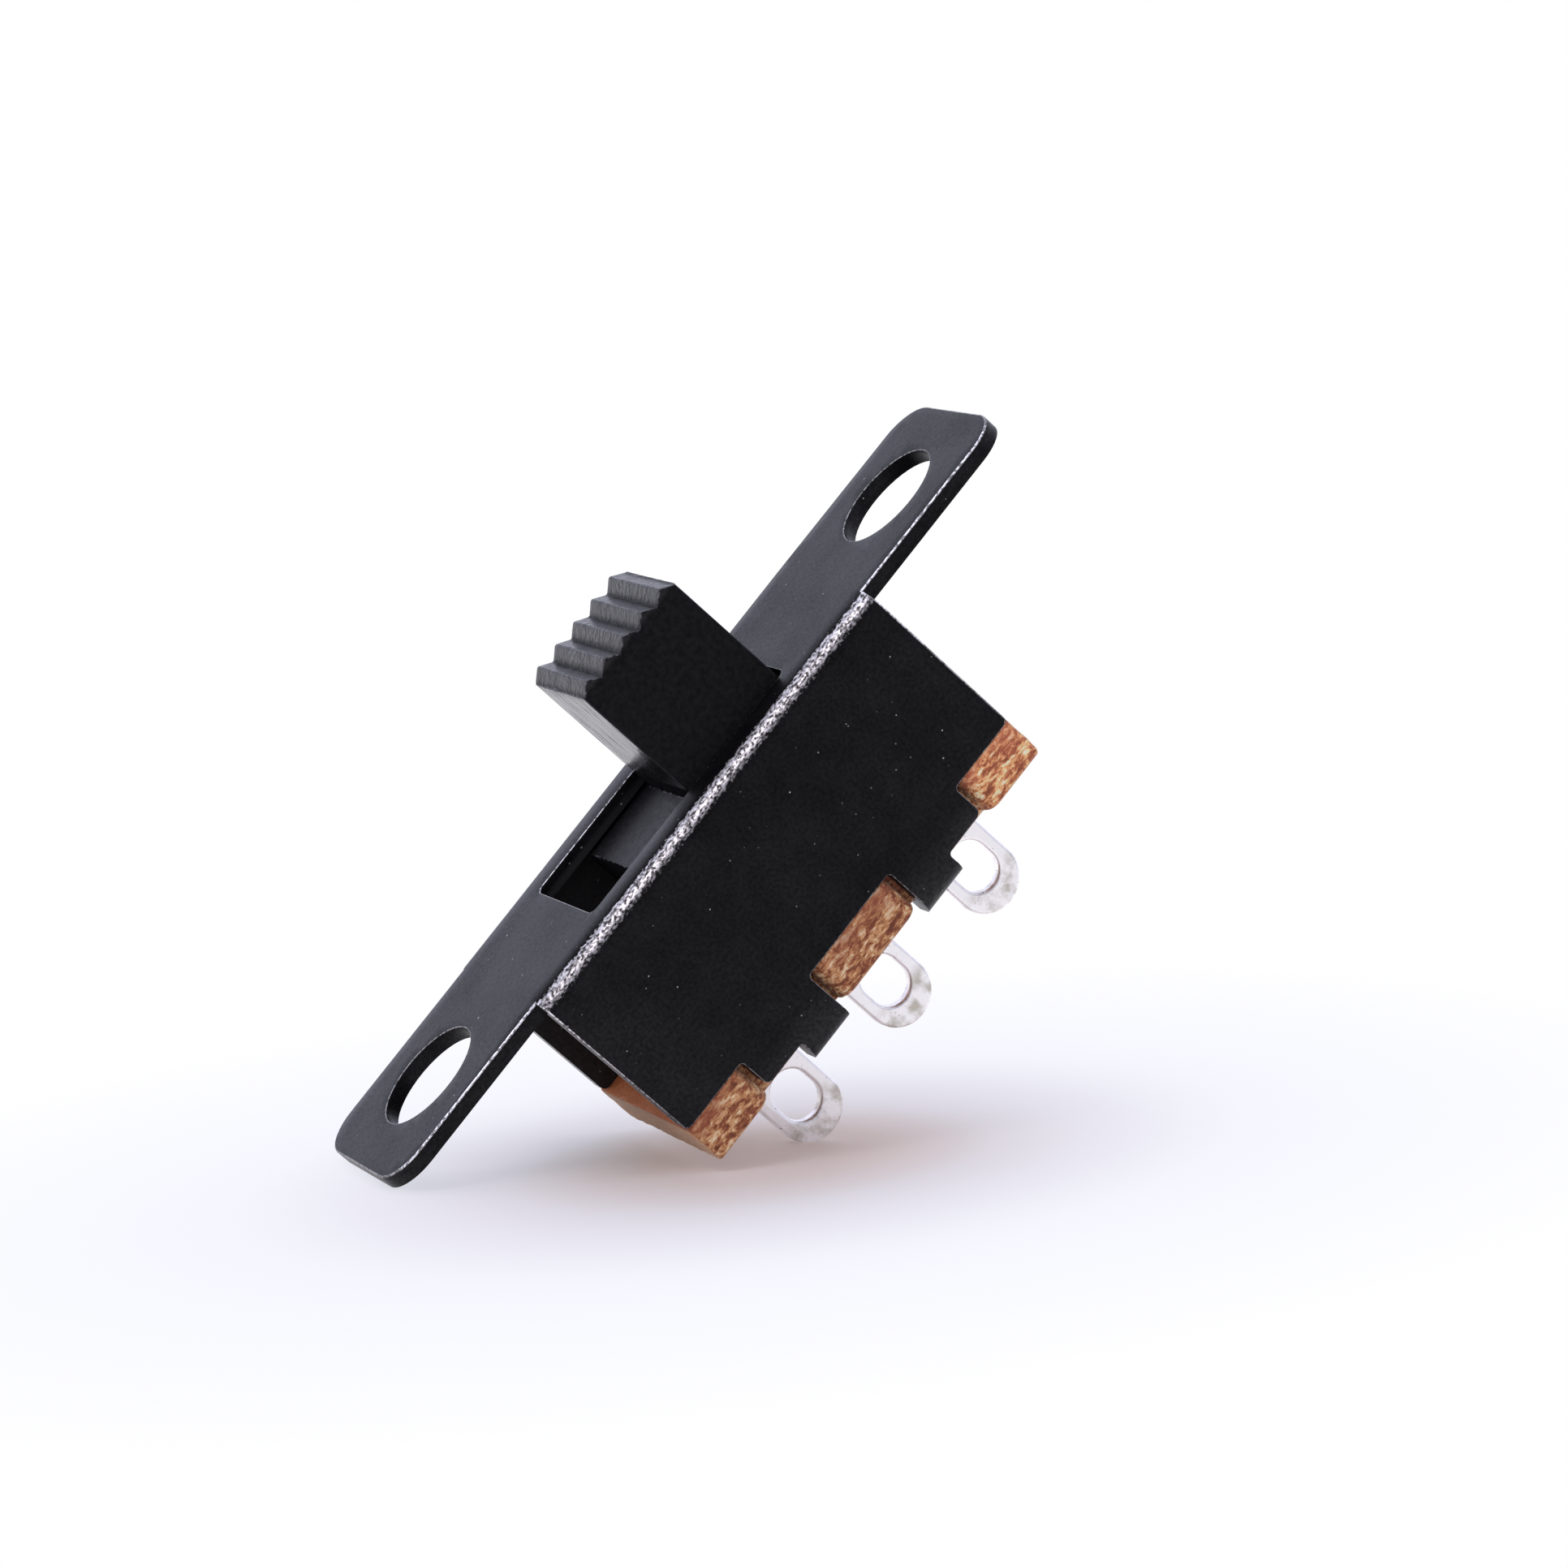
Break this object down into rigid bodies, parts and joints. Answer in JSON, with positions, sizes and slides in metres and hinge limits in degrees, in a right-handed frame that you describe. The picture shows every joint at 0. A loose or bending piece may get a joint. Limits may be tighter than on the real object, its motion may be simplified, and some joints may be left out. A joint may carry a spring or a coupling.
{
  "type": "panel-mount slide switch",
  "caption": "Two-position slide switch with a ribbed knob in a slotted steel face plate with screw ears, and solder lugs below a phenolic board.",
  "frame": {"origin": "centre of the face plate's outer face, midway between the two screw holes", "axes": "+X along the switch towards the end where the knob rests, +Z out of the panel along the knob, lugs towards -Z"},
  "size_m": [0.0196, 0.005, 0.0108],
  "materials": {
    "coated_steel": "thin black electrocoat on steel, satin",
    "phenolic_paper": "punched phenolic paper laminate, fibrous edges",
    "plated_terminal": "dull silver plating",
    "black_moulding": "moulded black polyamide, fine satin",
    "spring_bronze": "phosphor bronze spring sheet"
  },
  "bodies": {
    "housing": {"frame": "coated_steel", "base_board": "phenolic_paper", "terminal_left": "plated_terminal", "terminal_common": "plated_terminal", "terminal_right": "plated_terminal"},
    "slider": {"slider": "black_moulding", "contact_clip": "spring_bronze"}
  },
  "joints": [
    {"name": "slider_travel", "type": "slide", "parent": "housing", "child": "slider", "axis": [1, 0, 0], "range_m": [-0.003, 0]}
  ]
}
